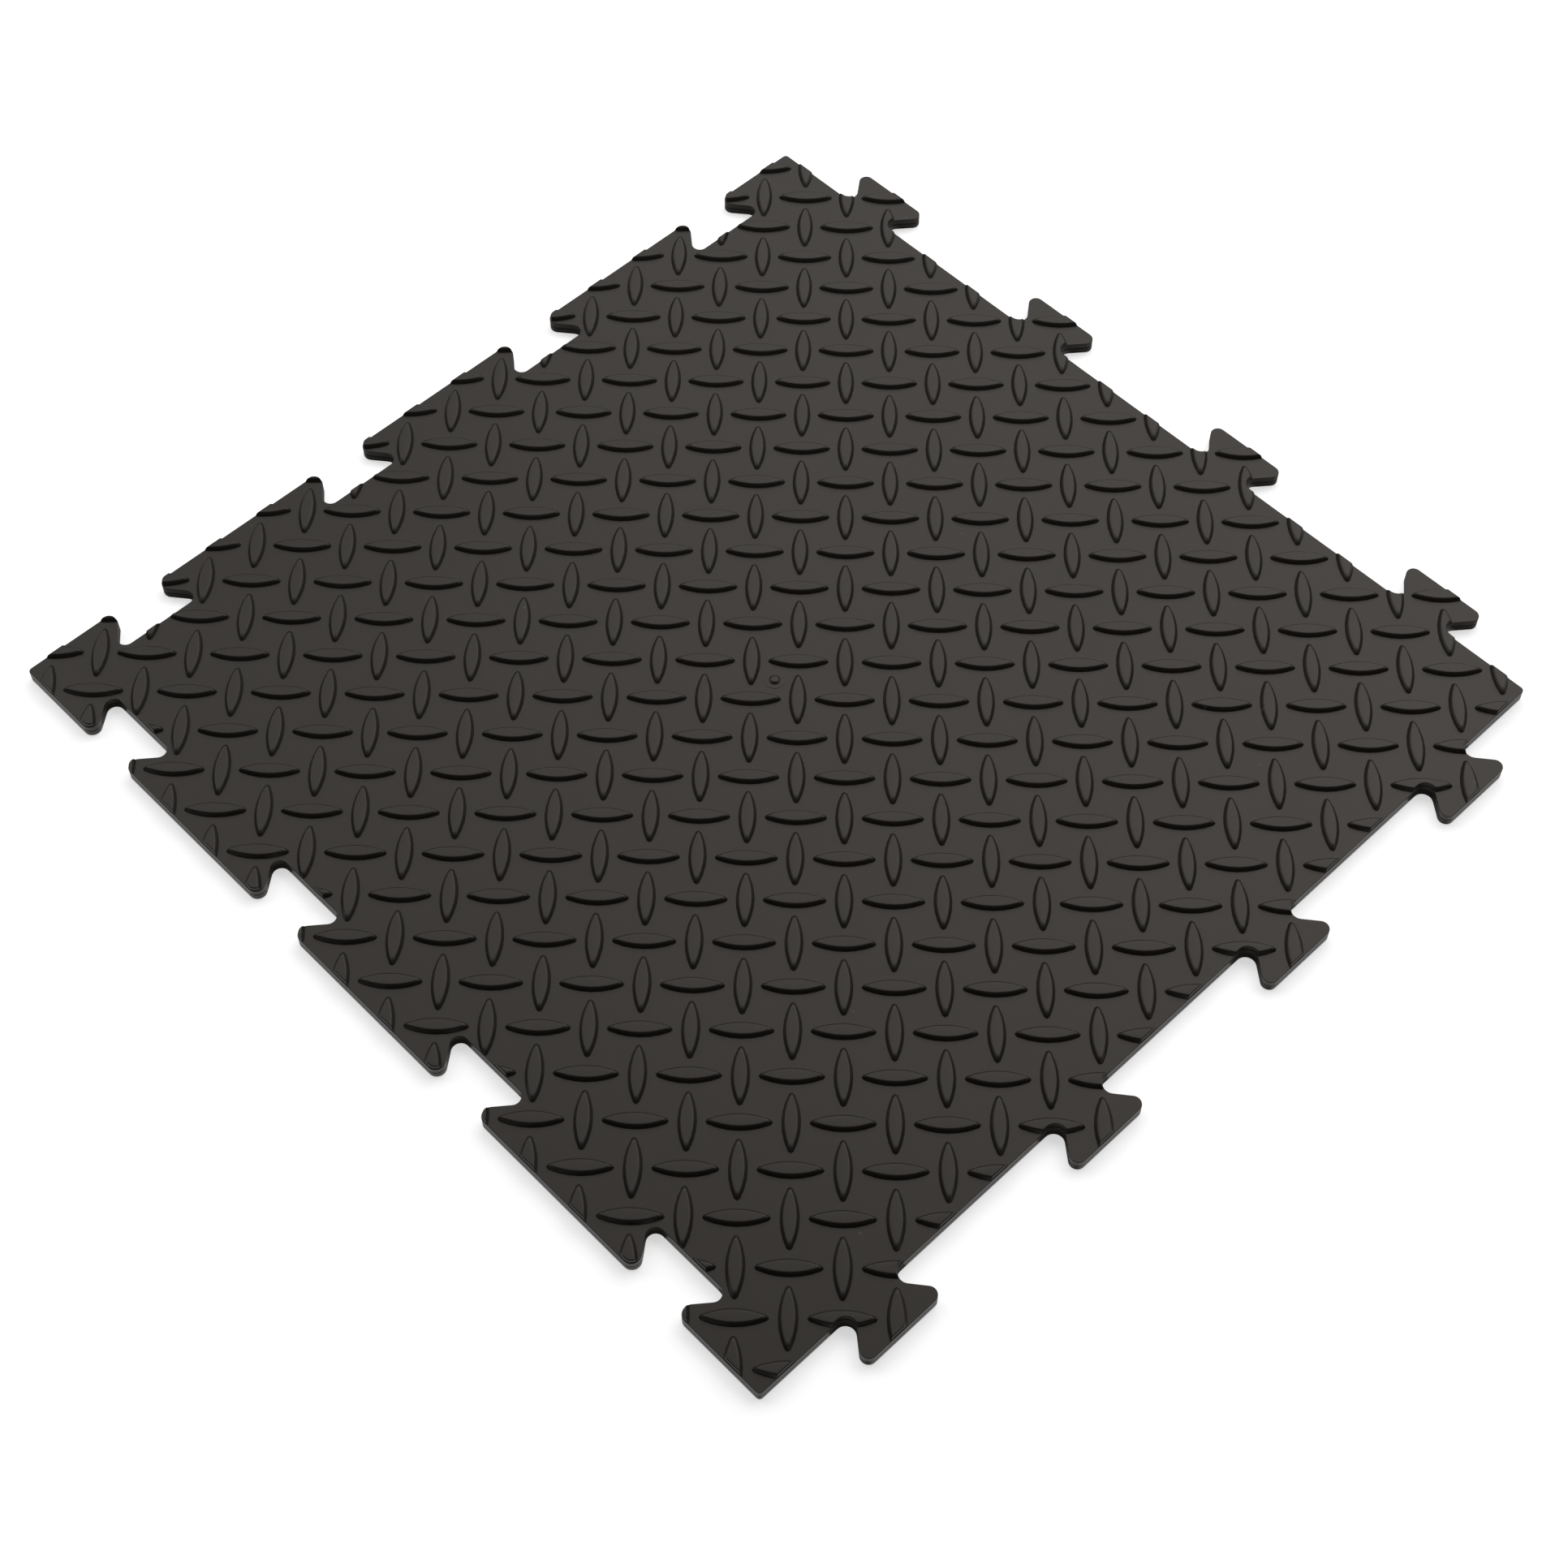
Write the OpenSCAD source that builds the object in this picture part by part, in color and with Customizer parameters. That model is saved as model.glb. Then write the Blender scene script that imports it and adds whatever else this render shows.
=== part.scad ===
// Interlocking PVC floor tile: one moulded sheet with raised lens-shaped treads on its face,
// arrow-shaped tabs on two sides and the sockets that they press into on the other two.
// The origin is on the underside, at the middle of the square body. Tabs point to +X and +Y.

/* [Sheet] */
// Spacing from tile to tile, which is the side of the square body and one fit gap
tile_pitch = 500; // [460:10:600]
// Thickness of the sheet, without the treads
sheet_t = 6.5; // [4:0.5:10]
// Radius of the body's four corners, seen from above
corner_r = 2; // [1:0.5:6]

/* [Tabs and sockets] */
// Tabs on a side, and sockets on the side opposite
tabs_per_side = 4; // [3:1:5]
// Reach of a tab from the joint line between two tiles
tab_depth = 20.8; // [17:0.1:22]
// Width of a tab across its head
tab_head_w = 42.6; // [38:0.2:46]
// Width of a tab at its neck
tab_neck_w = 27.6; // [22:0.2:32]
// Radius of the two corners of a tab's head
head_r = 4; // [2:0.5:5]
// Radius of the hollow on each side of a tab's neck
neck_r = 4.5; // [2:0.5:6]
// Gap all round between a tile and its neighbour
fit_gap = 0.3; // [0.1:0.1:0.6]

/* [Treads] */
// Treads that lie each way in one row across the body
treads_per_side = 16; // [12:2:18]
// Length of a tread at its foot, from tip to tip
tread_len = 28.8; // [20:0.2:29]
// Width of a tread at its foot
tread_w = 8.4; // [6:0.2:9]
// Height of a tread above the sheet
tread_h = 2; // [1.4:0.1:3]
// How far a tread's wall leans in between foot and top
tread_lean = 1.2; // [0.4:0.1:1.6]

/* [Gate mark] */
// Diameter of the low disc that the mould's gate leaves at the middle
gate_disc_d = 10; // [7:0.5:12]
// Height of that disc above the sheet
gate_disc_h = 0.2; // [0.1:0.05:0.4]
// Diameter of the tapered pip on the disc, at its foot
gate_pip_d = 5.6; // [4:0.2:6.6]
// Diameter of the pip at its top
gate_pip_top_d = 3.4; // [1:0.2:3.8]
// Height of the pip above the disc
gate_pip_h = 0.9; // [0.3:0.1:1.2]

/* [Hidden] */
$fn = 96;

joint_line = tile_pitch / 2;              // where two tiles meet, from the middle
body_side = tile_pitch - fit_gap;
tab_pitch = tile_pitch / tabs_per_side;
tread_pitch = tile_pitch / treads_per_side;
root = 1;                                 // depth that a tread and the gate disc run into the sheet
tab_root = 2;                             // how far a tab's outline runs back into the body

// One tab, pointing to +Y, is drawn about the joint line at y = 0. Its head's corner is an arc
// about head_centre and the hollow beside its neck is an arc about neck_centre. The flank is
// the straight line that touches both.
head_centre = [tab_head_w / 2 - head_r, tab_depth - head_r];
neck_centre = [tab_neck_w / 2 + neck_r, neck_r];
centre_line = neck_centre - head_centre;
flank_angle = atan2(centre_line.y, centre_line.x) + acos((head_r + neck_r) / norm(centre_line));

function on_circle(centre, r, angle) = centre + r * [cos(angle), sin(angle)];

// grow moves the outline out from its nominal place, or in where it is negative. A tab is half
// the fit gap smaller all round, and its socket half the fit gap larger.
module tab_outline(grow) {
    head_end = on_circle(head_centre, head_r + grow, flank_angle);
    neck_end = on_circle(neck_centre, neck_r - grow, flank_angle + 180);
    right = [[neck_centre.x, -tab_root], [neck_centre.x, grow], neck_end, head_end,
             [head_centre.x, tab_depth + grow]];
    left = [for (k = [len(right) - 1 : -1 : 0]) [-right[k].x, right[k].y]];
    difference() {
        union() {
            polygon(concat(right, left));
            for (side = [-1, 1]) translate([side * head_centre.x, head_centre.y])
                circle(r = head_r + grow);
        }
        for (side = [-1, 1]) translate([side * neck_centre.x, neck_centre.y])
            circle(r = neck_r - grow);
    }
}

// A row of tab outlines along the joint line on the +Y side
module tab_row(grow) {
    for (k = [0 : tabs_per_side - 1])
        translate([(k + 0.5) * tab_pitch - joint_line, joint_line]) tab_outline(grow);
}

// The rows on the two sides that have tabs. The sockets are the same rows, one tile back.
module tab_rows(grow, back = 0) {
    translate([0, -back]) tab_row(grow);
    translate([-back, 0]) rotate(-90) tab_row(grow);
}

// Square body with its four corners rounded
module body_outline() {
    straight = body_side - 2 * corner_r;
    square([straight, body_side], center = true);
    square([body_side, straight], center = true);
    for (x = [-1, 1], y = [-1, 1]) translate([x, y] * straight / 2) circle(r = corner_r);
}

module tile_outline() {
    difference() {
        body_outline();
        tab_rows(fit_gap / 2, back = tile_pitch);
    }
    tab_rows(-fit_gap / 2);
}

// One tread along X, as the lens that two leaning round walls share. Its foot is at z = 0.
module tread() {
    foot_r = (pow(tread_len, 2) + pow(tread_w, 2)) / (4 * tread_w);
    root_r = foot_r + tread_lean * root / tread_h;
    intersection_for (side = [-1, 1])
        translate([0, side * (foot_r - tread_w / 2), -root])
            cylinder(h = root + tread_h, r1 = root_r, r2 = foot_r - tread_lean);
}

// Treads that lie at 45 degrees and at -45 degrees take turns on a square grid. The tabs have
// them too, and a tile's next neighbour goes on with the same grid.
tread_places = [
    for (i = [-treads_per_side / 2 : treads_per_side / 2], j = [-treads_per_side / 2 : treads_per_side / 2],
         place = [[i, j + 0.5, 45], [i + 0.5, j, -45]])
        [place.x * tread_pitch, place.y * tread_pitch, place.z]
];

// A tread this close to the middle is clear of the border and of the sockets, so nothing cuts it
clear_reach = joint_line - tab_depth - tread_len / 2;
function is_clear(place) = max(abs(place.x), abs(place.y)) < clear_reach;

module treads(places) {
    translate([0, 0, sheet_t])
        for (place = places) translate([place.x, place.y]) rotate(place.z) tread();
}

// The mark of the mould's gate: a low disc with a tapered pip on it
module gate_mark() {
    translate([0, 0, sheet_t - root]) cylinder(h = root + gate_disc_h, d = gate_disc_d);
    translate([0, 0, sheet_t + gate_disc_h])
        cylinder(h = gate_pip_h, d1 = gate_pip_d, d2 = gate_pip_top_d);
}

module floor_tile() {
    color("#3a3938") {
        linear_extrude(sheet_t) tile_outline();
        treads([for (place = tread_places) if (is_clear(place)) place]);
        intersection() {
            treads([for (place = tread_places) if (!is_clear(place)) place]);
            linear_extrude(sheet_t + tread_h) tile_outline();
        }
        gate_mark();
    }
}

floor_tile();
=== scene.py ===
# Interlocking PVC floor tile: its moulded surface, the material, a studio floor, lights and a camera.
# Lengths are in metres. Tabs point to +X and +Y, and the origin is on the underside, at the middle of the body.
import math
import bpy
from mathutils import Matrix, Vector


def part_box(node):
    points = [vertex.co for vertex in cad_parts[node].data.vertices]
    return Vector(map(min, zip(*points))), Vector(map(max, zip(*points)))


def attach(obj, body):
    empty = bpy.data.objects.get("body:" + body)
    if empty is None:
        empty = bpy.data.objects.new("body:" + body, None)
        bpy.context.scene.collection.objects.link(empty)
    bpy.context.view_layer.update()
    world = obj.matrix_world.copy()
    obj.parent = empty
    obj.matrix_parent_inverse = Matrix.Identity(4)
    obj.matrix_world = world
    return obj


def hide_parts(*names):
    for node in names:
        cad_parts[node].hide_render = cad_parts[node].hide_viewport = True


mm = 0.001
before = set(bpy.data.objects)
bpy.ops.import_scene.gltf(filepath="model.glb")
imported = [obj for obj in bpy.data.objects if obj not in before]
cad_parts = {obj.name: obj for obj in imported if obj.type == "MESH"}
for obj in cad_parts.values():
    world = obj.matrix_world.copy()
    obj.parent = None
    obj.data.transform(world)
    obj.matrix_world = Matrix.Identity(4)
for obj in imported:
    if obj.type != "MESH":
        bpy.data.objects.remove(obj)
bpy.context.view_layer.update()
tileLow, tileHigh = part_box("floor_tile")

body = {
    "jointLine": 250 * mm,      # from the middle of the tile to where it meets the next one
    "cornerRadius": 2 * mm,
    "cornerSteps": 5,
    "sheetTop": 6.5 * mm,
    "rimRadius": 0.3 * mm,
    "rimSteps": 3,
    "partingHeight": 3.3 * mm,  # where the mould's halves meet, as a fine groove round the wall
    "partingWidth": 0.6 * mm,
    "partingDepth": 0.25 * mm,
    "weld": 0.01 * mm,          # points this close are one
    "smoothAngle": 35,          # degrees, under which two faces shade as one
    "edge": -tileLow.x,
}
body["play"] = body["jointLine"] - body["edge"]  # half the gap between two tiles

tab = {
    "perSide": 4,
    "headWidth": 42.6 * mm,
    "neckWidth": 27.6 * mm,
    "headRadius": 4 * mm,
    "neckRadius": 4.5 * mm,
    "arcSteps": 9,
}
tab["pitch"] = 2 * body["jointLine"] / tab["perSide"]
tab["reach"] = tileHigh.x - body["jointLine"] + body["play"]

tread = {
    "perSide": 16,
    "length": 32 * mm,          # before its two tips are rounded
    "width": 8.4 * mm,
    "tipRadius": 1.35 * mm,
    "sideSteps": 6,
    "root": 1 * mm,             # how far it is sunk in the sheet
    "cutInset": 0.45 * mm,      # where the border cuts it: how far inside the border it ends
    "cutRadius": 0.7 * mm,      # and how its end is rounded there
    "cutSteps": 3,
    # share of the height, and how far the wall has come in there at the sides and at the tips
    "rings": [(-0.05, -0.12 * mm, -0.12 * mm), (0.08, 0.15 * mm, 0.1 * mm), (0.5, 0.65 * mm, 0.4 * mm),
              (0.9, 1.3 * mm, 0.8 * mm), (1, 1.85 * mm, 1.2 * mm)],
}
tread["pitch"] = 2 * body["jointLine"] / tread["perSide"]
tread["height"] = tileHigh.z - body["sheetTop"]

gate = {
    "discRadius": 5 * mm,
    "discHeight": 0.15 * mm,
    "discRimRadius": 0.12 * mm,
    "discRimSteps": 2,
    "pipRadius": 2.8 * mm,
    "pipTopRadius": 1.7 * mm,
    "pipHeight": 0.9 * mm,
    "pipRimRadius": 0.3 * mm,
    "pipRimSteps": 3,
    "root": 1 * mm,
    "points": 40,
}


def makeActive(thing):
    for other in bpy.context.selected_objects:
        other.select_set(False)
    thing.select_set(True)
    bpy.context.view_layer.objects.active = thing


def newest(name):
    thing = bpy.context.active_object
    thing.name = name
    thing.data.name = name
    return thing


def editMode(thing, pick="VERT"):
    makeActive(thing)
    bpy.ops.object.mode_set(mode="EDIT")
    bpy.ops.mesh.select_mode(type=pick)


def objectMode():
    bpy.ops.object.mode_set(mode="OBJECT")


def selectEdges(thing, test):
    # test gets the two ends of an edge; the object is left in edit mode with the edges that pass
    editMode(thing, "EDGE")
    bpy.ops.mesh.select_all(action="DESELECT")
    objectMode()
    ends = thing.data.vertices
    for edge in thing.data.edges:
        edge.select = test(ends[edge.vertices[0]].co, ends[edge.vertices[1]].co)
    bpy.ops.object.mode_set(mode="EDIT")


def copyOf(thing, name):
    copy = thing.copy()
    copy.data = thing.data.copy()
    copy.name = name
    copy.data.name = name
    bpy.context.scene.collection.objects.link(copy)
    return copy


def applyModifier(thing, kind, **settings):
    makeActive(thing)
    modifier = thing.modifiers.new(kind.title(), kind)
    for setting, value in settings.items():
        setattr(modifier, setting, value)
    bpy.ops.object.modifier_apply(modifier=modifier.name)


def combine(thing, other, how):
    applyModifier(thing, "BOOLEAN", operation=how, solver="MANIFOLD", object=other)
    bpy.data.objects.remove(other)


def walkTo(here, there):
    bpy.ops.mesh.extrude_region_move(TRANSFORM_OT_translate={"value": there - here})
    return there


def walkRound(here, centre, turn, steps):
    bpy.ops.mesh.spin(steps=steps, angle=-turn, center=centre, axis=(0, 0, 1))
    return centre + Matrix.Rotation(turn, 3, "Z") @ (here - centre)


def flankTurn():
    # a tab's flank is the straight line that touches the head's corner and the hollow beside the neck
    across = tab["neckWidth"] / 2 + tab["neckRadius"] - tab["headWidth"] / 2 + tab["headRadius"]
    along = tab["neckRadius"] - tab["reach"] + tab["headRadius"]
    touching = math.acos((tab["headRadius"] + tab["neckRadius"]) / math.hypot(across, along))
    return math.pi / 2 - math.atan2(along, across) - touching


def walkTab(here, place, grow, hand, turn):
    # place(along, out) is a point from the tab's middle on the joint line; hand is 1 where out is to the left
    headAlong = tab["headWidth"] / 2 - tab["headRadius"]
    headOut = tab["reach"] - tab["headRadius"]
    neckAlong = tab["neckWidth"] / 2 + tab["neckRadius"]
    headRadius = tab["headRadius"] + grow
    steps = tab["arcSteps"]
    flank = (math.sin(turn) * headRadius, math.cos(turn) * headRadius)
    neckFlank = (math.sin(turn) * (tab["neckRadius"] - grow), math.cos(turn) * (tab["neckRadius"] - grow))
    here = walkTo(here, place(-neckAlong, grow))
    here = walkRound(here, place(-neckAlong, tab["neckRadius"]), hand * turn, steps)
    here = walkTo(here, place(-headAlong - flank[0], headOut + flank[1]))
    here = walkRound(here, place(-headAlong, headOut), -hand * turn, steps)
    here = walkTo(here, place(headAlong, tab["reach"] + grow))
    here = walkRound(here, place(headAlong, headOut), -hand * turn, steps)
    here = walkTo(here, place(neckAlong - neckFlank[0], tab["neckRadius"] - neckFlank[1]))
    return walkRound(here, place(neckAlong, tab["neckRadius"]), hand * turn, steps)


def makeOutline():
    # one vertex is walked anticlockwise round the tile: straights are extruded and arcs are spun
    straight = body["edge"] - body["cornerRadius"]
    here = Vector((-straight, -body["edge"], 0))
    bpy.ops.mesh.primitive_plane_add(size=1 * mm, location=(0, 0, 0))
    outline = newest("outline")
    editMode(outline)
    bpy.ops.mesh.merge(type="CENTER")
    bpy.ops.transform.translate(value=here)
    turn = flankTurn()
    for side in range(4):
        along = Vector((math.cos(side * math.pi / 2), math.sin(side * math.pi / 2), 0))
        inward = Vector((-along.y, along.x, 0))
        hasTabs = side in (1, 2)
        hand = -1 if hasTabs else 1
        grow = -body["play"] if hasTabs else body["play"]
        for number in range(tab["perSide"]):
            middle = (number + 0.5) * tab["pitch"] - body["jointLine"]

            def place(step, out):
                return along * (middle + step) + inward * (hand * out - body["jointLine"])

            here = walkTab(here, place, grow, hand, turn)
        here = walkTo(here, along * straight - inward * body["edge"])
        here = walkRound(here, (along - inward) * straight, math.pi / 2, body["cornerSteps"])
    bpy.ops.mesh.select_all(action="SELECT")
    bpy.ops.mesh.remove_doubles(threshold=body["weld"])
    bpy.ops.mesh.edge_face_add()
    objectMode()
    return outline


def raiseFace(height):
    bpy.ops.mesh.extrude_region_move(TRANSFORM_OT_translate={"value": (0, 0, height)})


def makeSlab(outline):
    # the sheet, with the parting groove round its wall and rounded rims
    slab = copyOf(outline, "pvcTile")
    editMode(slab, "FACE")
    bpy.ops.mesh.select_all(action="SELECT")
    low = body["partingHeight"] - body["partingWidth"] / 2
    raiseFace(low)
    raiseFace(body["partingWidth"] / 2)
    raiseFace(body["partingWidth"] / 2)
    raiseFace(body["sheetTop"] - low - body["partingWidth"])
    bpy.ops.mesh.select_all(action="SELECT")
    bpy.ops.mesh.normals_make_consistent(inside=False)
    groove = body["partingHeight"]
    selectEdges(slab, lambda a, b: max(abs(a.z - groove), abs(b.z - groove)) < body["weld"])
    bpy.ops.transform.shrink_fatten(value=-body["partingDepth"], use_even_offset=True)
    objectMode()
    high = body["sheetTop"] - body["rimRadius"]
    selectEdges(slab, lambda a, b: min(a.z, b.z) > high or max(a.z, b.z) < body["rimRadius"])
    bpy.ops.mesh.bevel(offset=body["rimRadius"], segments=body["rimSteps"], profile=0.5)
    objectMode()
    return slab


def makeTreadCutter(outline):
    cutter = copyOf(outline, "treadCutter")
    editMode(cutter, "FACE")
    bpy.ops.mesh.select_all(action="SELECT")
    bpy.ops.mesh.inset(thickness=tread["cutInset"])
    bpy.ops.mesh.select_all(action="INVERT")
    bpy.ops.mesh.delete(type="FACE")
    bpy.ops.mesh.select_all(action="SELECT")
    raiseFace(tileHigh.z)
    bpy.ops.mesh.select_all(action="SELECT")
    bpy.ops.mesh.normals_make_consistent(inside=False)
    selectEdges(cutter, lambda a, b: min(a.z, b.z) > tileHigh.z / 2)
    bpy.ops.mesh.bevel(offset=tread["cutRadius"], segments=tread["cutSteps"], profile=0.5)
    objectMode()
    return cutter


def lensRing(sideInset, tipInset):
    # the outline of the lens that two arcs make, with its tips rounded
    halfWidth = tread["width"] / 2 - sideInset
    halfLength = tread["length"] / 2 - tipInset
    radius = (halfLength ** 2 + halfWidth ** 2) / (2 * halfWidth)
    low = radius - halfWidth
    tip = tread["tipRadius"]
    tipAlong = math.sqrt((radius - tip) ** 2 - low ** 2)
    spread = math.atan2(tipAlong, low)
    half = []
    for step in range(tread["sideSteps"] + 1):
        angle = spread * (1 - 2 * step / tread["sideSteps"])
        half.append((radius * math.sin(angle), radius * math.cos(angle) - low))
    half.append((-tipAlong - tip, 0))
    return half + [(-x, -y) for x, y in half]


def makeTread():
    # one tread along X with its foot at z = 0: a ring is drawn at its root and extruded up ring by ring
    first = tread["rings"][0][1:]
    points = lensRing(*first)
    bpy.ops.mesh.primitive_circle_add(vertices=len(points), radius=tread["width"], fill_type="NGON",
                                      location=(0, 0, 0))
    lens = newest("tread")
    for vertex, (x, y) in zip(lens.data.vertices, points):
        vertex.co = (x, y, -tread["root"])
    editMode(lens, "FACE")
    bpy.ops.mesh.select_all(action="SELECT")
    last = (-tread["root"], first)
    for share, *insets in tread["rings"]:
        height = share * tread["height"]
        before, after = lensRing(*last[1]), lensRing(*insets)
        length = max(x for x, y in after) / max(x for x, y in before)
        width = max(y for x, y in after) / max(y for x, y in before)
        raiseFace(height - last[0])
        bpy.ops.transform.resize(value=(length, width, 1))
        last = (height, insets)
    bpy.ops.mesh.select_all(action="SELECT")
    bpy.ops.mesh.normals_make_consistent(inside=False)
    objectMode()
    return lens


def layTreads():
    # treads at 45 and -45 degrees take turns on a square grid, which starts one pitch outside the body
    # and runs as far past the tabs
    pitch = tread["pitch"]
    start = -body["jointLine"] - pitch
    first = makeTread()
    second = copyOf(first, "otherTread")
    for lens, x, y, angle in ((first, 0, pitch / 2, 45), (second, pitch / 2, 0, -45)):
        lens.data.transform(Matrix.Translation((start + x, start + y, body["sheetTop"]))
                            @ Matrix.Rotation(math.radians(angle), 4, "Z"))
    makeActive(first)
    second.select_set(True)
    bpy.ops.object.join()
    for offset in ((pitch, 0, 0), (0, pitch, 0)):
        applyModifier(first, "ARRAY", count=tread["perSide"] + 3, use_relative_offset=False,
                      use_constant_offset=True, constant_offset_displace=offset)
    return first


def makeGateMark():
    # the round mark that the mould's gate leaves: a low disc with a tapered pip on it
    low = body["sheetTop"] - gate["root"]
    discTop = body["sheetTop"] + gate["discHeight"]
    bpy.ops.mesh.primitive_cylinder_add(vertices=gate["points"], radius=gate["discRadius"],
                                        depth=discTop - low, location=(0, 0, (discTop + low) / 2))
    disc = newest("gateDisc")
    bpy.ops.object.transform_apply()
    selectEdges(disc, lambda a, b: min(a.z, b.z) > low + gate["root"])
    bpy.ops.mesh.bevel(offset=gate["discRimRadius"], segments=gate["discRimSteps"], profile=0.5)
    objectMode()
    pipTop = discTop + gate["pipHeight"]
    bpy.ops.mesh.primitive_cone_add(vertices=gate["points"], radius1=gate["pipRadius"],
                                    radius2=gate["pipTopRadius"], depth=pipTop - discTop,
                                    location=(0, 0, (pipTop + discTop) / 2))
    pip = newest("gatePip")
    bpy.ops.object.transform_apply()
    selectEdges(pip, lambda a, b: min(a.z, b.z) > discTop + gate["pipHeight"] / 2)
    bpy.ops.mesh.bevel(offset=gate["pipRimRadius"], segments=gate["pipRimSteps"], profile=0.5)
    objectMode()
    combine(disc, pip, "UNION")
    return disc


def makeTile():
    outline = makeOutline()
    tile = makeSlab(outline)
    treads = layTreads()
    combine(treads, makeTreadCutter(outline), "INTERSECT")
    bpy.data.objects.remove(outline)
    combine(tile, treads, "UNION")
    combine(tile, makeGateMark(), "UNION")
    makeActive(tile)
    bpy.ops.object.shade_smooth_by_angle(angle=math.radians(body["smoothAngle"]))
    applyModifier(tile, "WEIGHTED_NORMAL", keep_sharp=True)
    print("tile:", len(tile.data.polygons), "faces")
    return tile


grain = {"size": 0.5 * mm, "height": 0.012 * mm, "detail": 3, "roughness": 0.6}
mottle = {"size": 45 * mm, "fineSize": 6 * mm, "largeShare": 0.7, "detail": 2}
dust = {"spacing": 19 * mm, "radius": 0.75 * mm, "share": 0.05}
pvc = {
    "dark": (0.0135, 0.0118, 0.01, 1),
    "pale": (0.0175, 0.0153, 0.013, 1),
    "dust": (0.045, 0.042, 0.038, 1),
    "smooth": 0.38,
    "rough": 0.46,
    "specular": 0.43,
    "tint": (1, 0.93, 0.865, 1),
}


def startGroup(name, values, result):
    # a group gets a position and some named values, and gives one; it comes back with its two end nodes
    group = bpy.data.node_groups.new(name, "ShaderNodeTree")
    group.interface.new_socket("Position", in_out="INPUT", socket_type="NodeSocketVector")
    for label in values:
        group.interface.new_socket(label, in_out="INPUT", socket_type="NodeSocketFloat")
    group.interface.new_socket(result, in_out="OUTPUT", socket_type="NodeSocketFloat")
    return group, group.nodes.new("NodeGroupInput"), group.nodes.new("NodeGroupOutput")


def addMath(tree, how, first, second):
    node = tree.nodes.new("ShaderNodeMath")
    node.operation = how
    for socket, value in zip(node.inputs, (first, second)):
        if isinstance(value, bpy.types.NodeSocket):
            tree.links.new(value, socket)
        else:
            socket.default_value = value
    return node.outputs[0]


def makeGrainGroup():
    # the fine satin grain that the mould leaves, as a height in metres
    group, start, end = startGroup("mouldGrain", ("Size", "Height"), "Height")
    noise = group.nodes.new("ShaderNodeTexNoise")
    noise.inputs["Detail"].default_value = grain["detail"]
    noise.inputs["Roughness"].default_value = grain["roughness"]
    group.links.new(start.outputs["Position"], noise.inputs["Vector"])
    group.links.new(addMath(group, "DIVIDE", 1, start.outputs["Size"]), noise.inputs["Scale"])
    group.links.new(addMath(group, "MULTIPLY", noise.outputs[0], start.outputs["Height"]), end.inputs["Height"])
    return group


def makeMottleGroup():
    # clouds where the melt cooled unevenly and feet have rubbed it, from 0 to 1 about 0.5
    group, start, end = startGroup("softMottle", ("Size", "Fine Size"), "Mask")
    parts = []
    for label, share in (("Size", mottle["largeShare"]), ("Fine Size", 1 - mottle["largeShare"])):
        noise = group.nodes.new("ShaderNodeTexNoise")
        noise.inputs["Detail"].default_value = mottle["detail"]
        group.links.new(start.outputs["Position"], noise.inputs["Vector"])
        group.links.new(addMath(group, "DIVIDE", 1, start.outputs[label]), noise.inputs["Scale"])
        parts.append(addMath(group, "MULTIPLY", noise.outputs[0], share))
    group.links.new(addMath(group, "ADD", *parts), end.inputs["Mask"])
    return group


def makeDustGroup():
    # a few round specks: one sits in each cell whose random number is under the share
    group, start, end = startGroup("dustSpecks", ("Spacing", "Radius", "Share"), "Mask")
    cells = group.nodes.new("ShaderNodeTexVoronoi")
    cells.voronoi_dimensions = "2D"
    group.links.new(start.outputs["Position"], cells.inputs["Vector"])
    group.links.new(addMath(group, "DIVIDE", 1, start.outputs["Spacing"]), cells.inputs["Scale"])
    pick = group.nodes.new("ShaderNodeSeparateColor")
    group.links.new(cells.outputs["Color"], pick.inputs["Color"])
    chosen = addMath(group, "LESS_THAN", pick.outputs[0], start.outputs["Share"])
    reach = addMath(group, "DIVIDE", start.outputs["Radius"], start.outputs["Spacing"])
    reach = addMath(group, "MULTIPLY", reach, pick.outputs[1])
    near = addMath(group, "LESS_THAN", cells.outputs["Distance"], reach)
    group.links.new(addMath(group, "MULTIPLY", chosen, near), end.inputs["Mask"])
    return group


def placeGroup(tree, group, **values):
    node = tree.nodes.new("ShaderNodeGroup")
    node.node_tree = group
    for label, value in values.items():
        node.inputs[label.replace("_", " ")].default_value = value
    position = tree.nodes.get("Texture Coordinate") or tree.nodes.new("ShaderNodeTexCoord")
    tree.links.new(position.outputs["Object"], node.inputs["Position"])
    return node.outputs[0]


def mixColours(tree, mask, first, second):
    mix = tree.nodes.new("ShaderNodeMix")
    mix.data_type = "RGBA"
    tree.links.new(mask, mix.inputs["Factor"])
    for label, colour in (("A", first), ("B", second)):
        socket = next(s for s in mix.inputs if s.name == label and s.type == "RGBA")
        if isinstance(colour, bpy.types.NodeSocket):
            tree.links.new(colour, socket)
        else:
            socket.default_value = colour
    return next(s for s in mix.outputs if s.type == "RGBA")


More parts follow.
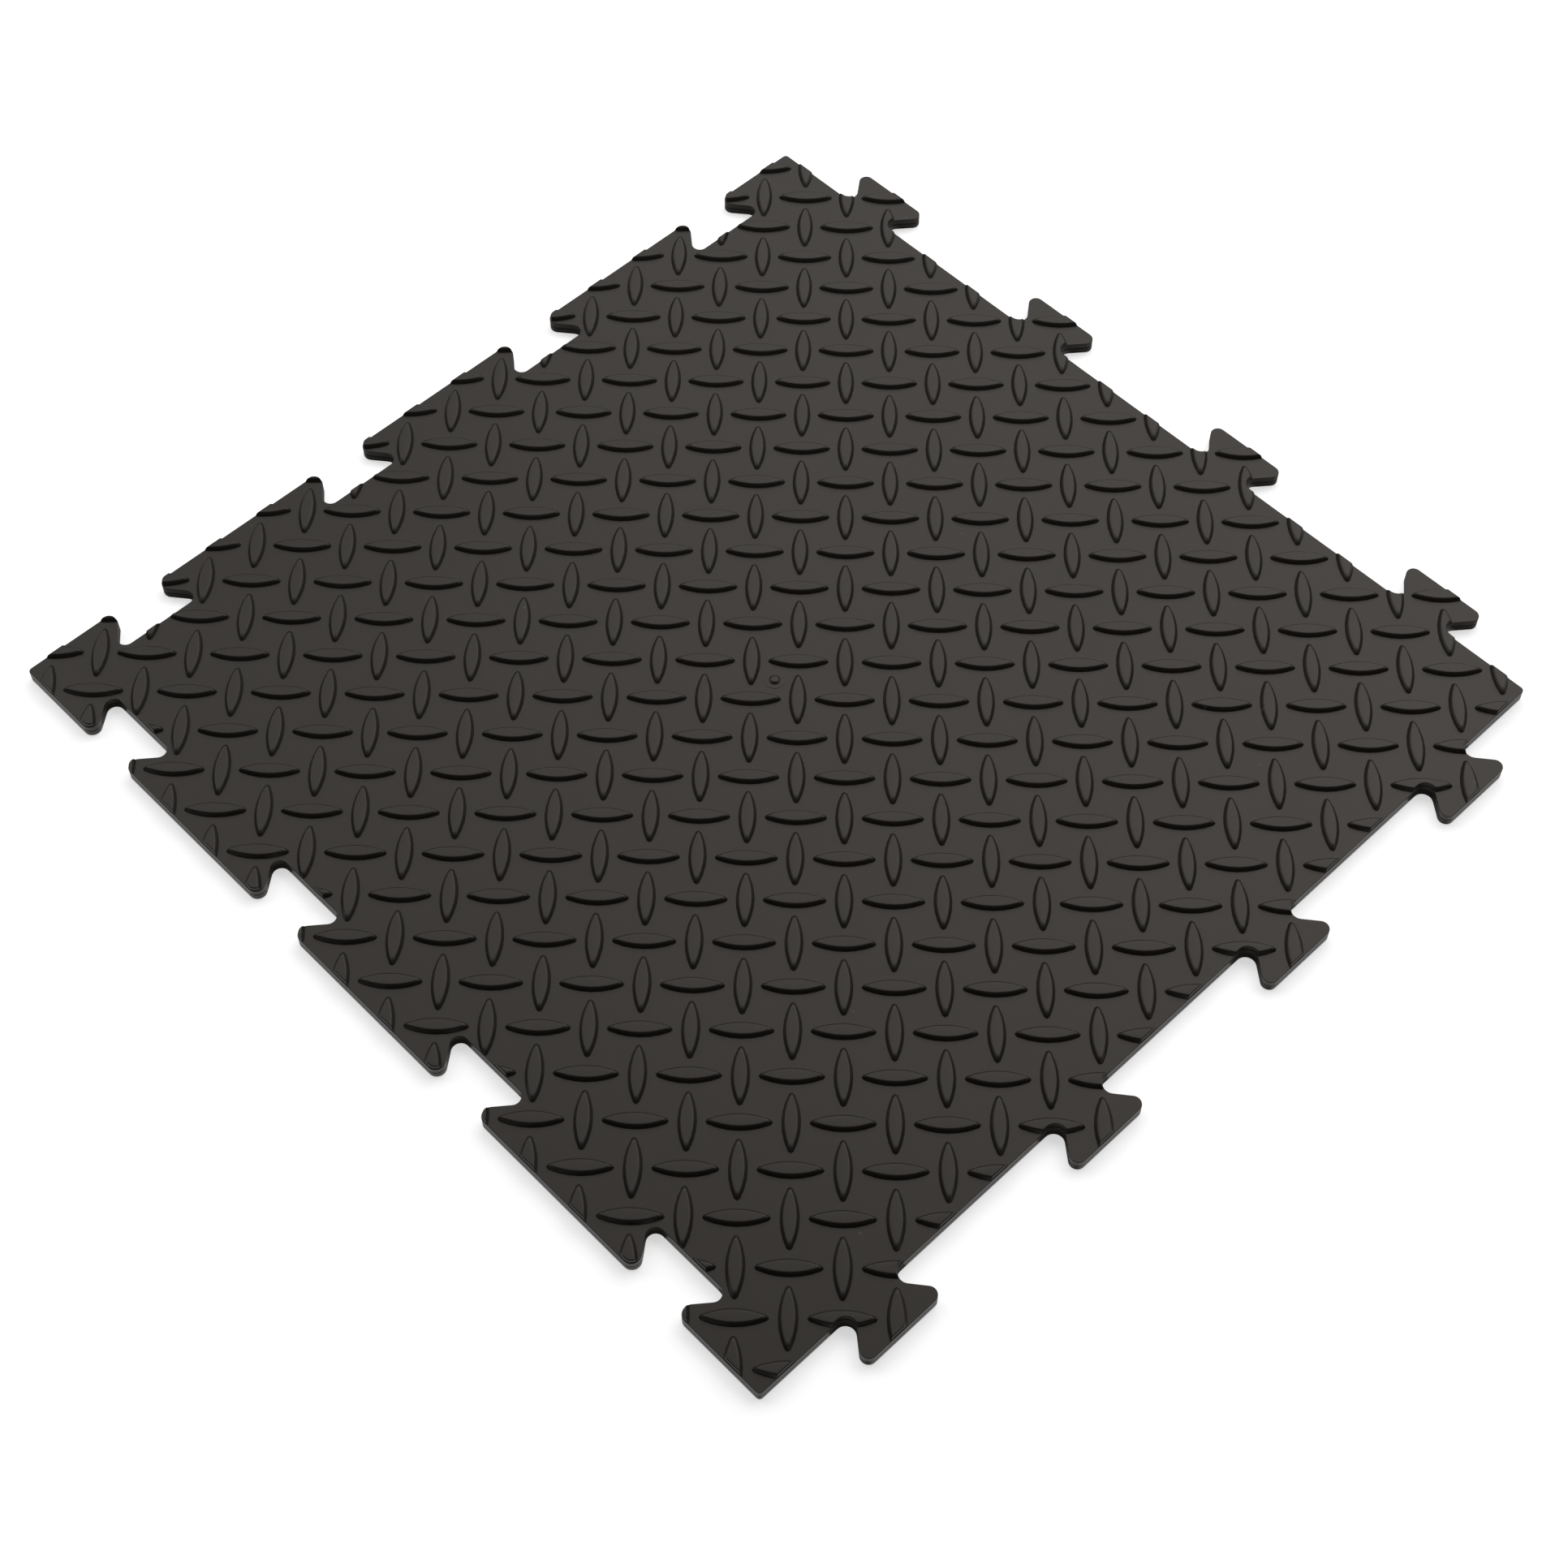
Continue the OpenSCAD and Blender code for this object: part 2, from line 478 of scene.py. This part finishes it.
def pvcMaterial():
    material = bpy.data.materials.new("darkPvc")
    material.use_nodes = True
    tree = material.node_tree
    shader = tree.nodes["Principled BSDF"]
    shader.inputs["Specular IOR Level"].default_value = pvc["specular"]
    shader.inputs["Specular Tint"].default_value = pvc["tint"]
    clouds = placeGroup(tree, makeMottleGroup(), Size=mottle["size"], Fine_Size=mottle["fineSize"])
    specks = placeGroup(tree, makeDustGroup(), Spacing=dust["spacing"], Radius=dust["radius"],
                        Share=dust["share"])
    plain = mixColours(tree, clouds, pvc["dark"], pvc["pale"])
    tree.links.new(mixColours(tree, specks, plain, pvc["dust"]), shader.inputs["Base Color"])
    spread = addMath(tree, "MULTIPLY", clouds, pvc["rough"] - pvc["smooth"])
    tree.links.new(addMath(tree, "ADD", spread, pvc["smooth"]), shader.inputs["Roughness"])
    bump = tree.nodes.new("ShaderNodeBump")
    bump.inputs["Distance"].default_value = 1
    tree.links.new(placeGroup(tree, makeGrainGroup(), Size=grain["size"], Height=grain["height"]),
                   bump.inputs["Height"])
    tree.links.new(bump.outputs["Normal"], shader.inputs["Normal"])
    return material


studio = {
    "floorSize": 8,
    "floorDrop": 0.2 * mm,
    "floorColour": (0.85, 0.85, 0.85, 1),
    "floorLift": 0.58,          # what the camera and reflections see on top of the lit floor: an even backdrop to the camera, painted light in reflections
    "tabShade": 22 * mm,        # to each side of a tab's middle: how far its hollow's reflection is in painted shade
    "socketLight": 16 * mm,     # to each side of a socket's middle: how far its wall's reflection gets painted light
    "world": 0.05,
    # name, compass angle from +X, height angle, distance, size and power of each soft light
    "softboxes": [
        ("backSoftbox", 120, 45, 2.4, 2.2, 24),
        ("leftSoftbox", 195, 40, 2.4, 1.8, 15),
        ("rightSoftbox", 70, 40, 2.4, 1.8, 13),
        ("topSoftbox", 90, 82, 2.2, 2, 5),
    ],
}

camera = {
    "place": (546.1 * mm, -524.6 * mm, 1047.3 * mm),
    "turn": (33.854, -0.046, 45.879),   # degrees about X, Y and Z
    "lens": 62.58,
    "sensor": 36,
}


def nearMiddle(tree, along, reach):
    # 1 within reach of the middle of a tab or a socket, measured along their side
    halfPitch = tab["pitch"] / 2
    return addMath(tree, "GREATER_THAN", addMath(tree, "PINGPONG", along, halfPitch), halfPitch - reach)


def paintedFloorLight(tree):
    # 1 on the floor before the two near sides, but 0 beside the necks of the tabs: where the floor glows in
    # reflections, this paints light on the near walls and painted shade in the hollows
    place = tree.nodes.new("ShaderNodeSeparateXYZ")
    tree.links.new(tree.nodes.new("ShaderNodeTexCoord").outputs["Object"], place.inputs["Vector"])
    x, y = place.outputs["X"], place.outputs["Y"]
    clear = addMath(tree, "SUBTRACT", 1, nearMiddle(tree, y, studio["tabShade"]))
    light = addMath(tree, "MULTIPLY", addMath(tree, "GREATER_THAN", x, body["edge"]), clear)
    for part in (addMath(tree, "GREATER_THAN", x, body["edge"] + tab["reach"]),
                 addMath(tree, "LESS_THAN", y, -body["edge"]),
                 nearMiddle(tree, x, studio["socketLight"])):
        light = addMath(tree, "MAXIMUM", light, part)
    return light


def makeFloor():
    bpy.ops.mesh.primitive_plane_add(size=studio["floorSize"], location=(0, 0, -studio["floorDrop"]))
    floor = newest("studioFloor")
    material = bpy.data.materials.new("studioFloor")
    material.use_nodes = True
    tree = material.node_tree
    shader = tree.nodes["Principled BSDF"]
    shader.inputs["Base Color"].default_value = studio["floorColour"]
    shader.inputs["Roughness"].default_value = 1
    shader.inputs["Specular IOR Level"].default_value = 0
    shader.inputs["Emission Color"].default_value = (1, 1, 1, 1)
    path = tree.nodes.new("ShaderNodeLightPath")
    # the floor glows in reflections only where the mask is 1: painted reflection light, with painted shade in
    # the hollows
    mirrored = addMath(tree, "MULTIPLY", path.outputs["Is Glossy Ray"], paintedFloorLight(tree))
    seen = addMath(tree, "MAXIMUM", path.outputs["Is Camera Ray"], path.outputs["Is Transmission Ray"])
    seen = addMath(tree, "MAXIMUM", seen, mirrored)
    tree.links.new(addMath(tree, "MULTIPLY", seen, studio["floorLift"]), shader.inputs["Emission Strength"])
    floor.data.materials.append(material)


def makeLights():
    world = bpy.data.worlds.new("studio")
    world.use_nodes = True
    world.node_tree.nodes["Background"].inputs["Color"].default_value = (1, 1, 1, 1)
    world.node_tree.nodes["Background"].inputs["Strength"].default_value = studio["world"]
    bpy.context.scene.world = world
    for name, compass, height, distance, size, power in studio["softboxes"]:
        out = Matrix.Rotation(math.radians(compass), 3, "Z") @ Matrix.Rotation(-math.radians(height), 3, "Y")
        place = out @ Vector((distance, 0, 0))
        bpy.ops.object.light_add(type="AREA", location=place)
        softbox = bpy.context.active_object
        softbox.name = name
        softbox.data.size = size
        softbox.data.energy = power
        softbox.rotation_euler = place.to_track_quat("Z", "Y").to_euler()


def makeCamera():
    data = bpy.data.cameras.new("camera")
    data.lens = camera["lens"]
    data.sensor_width = camera["sensor"]
    eye = bpy.data.objects.new("camera", data)
    eye.location = camera["place"]
    eye.rotation_euler = [math.radians(angle) for angle in camera["turn"]]
    bpy.context.scene.collection.objects.link(eye)
    bpy.context.scene.camera = eye


bpy.context.scene.view_settings.view_transform = "Standard"
makeFloor()
makeLights()
makeCamera()
print("studio ready")

pvcTile = makeTile()
pvcTile.data.materials.clear()
pvcTile.data.materials.append(pvcMaterial())
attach(pvcTile, "root")
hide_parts("floor_tile")
print("tile ready")
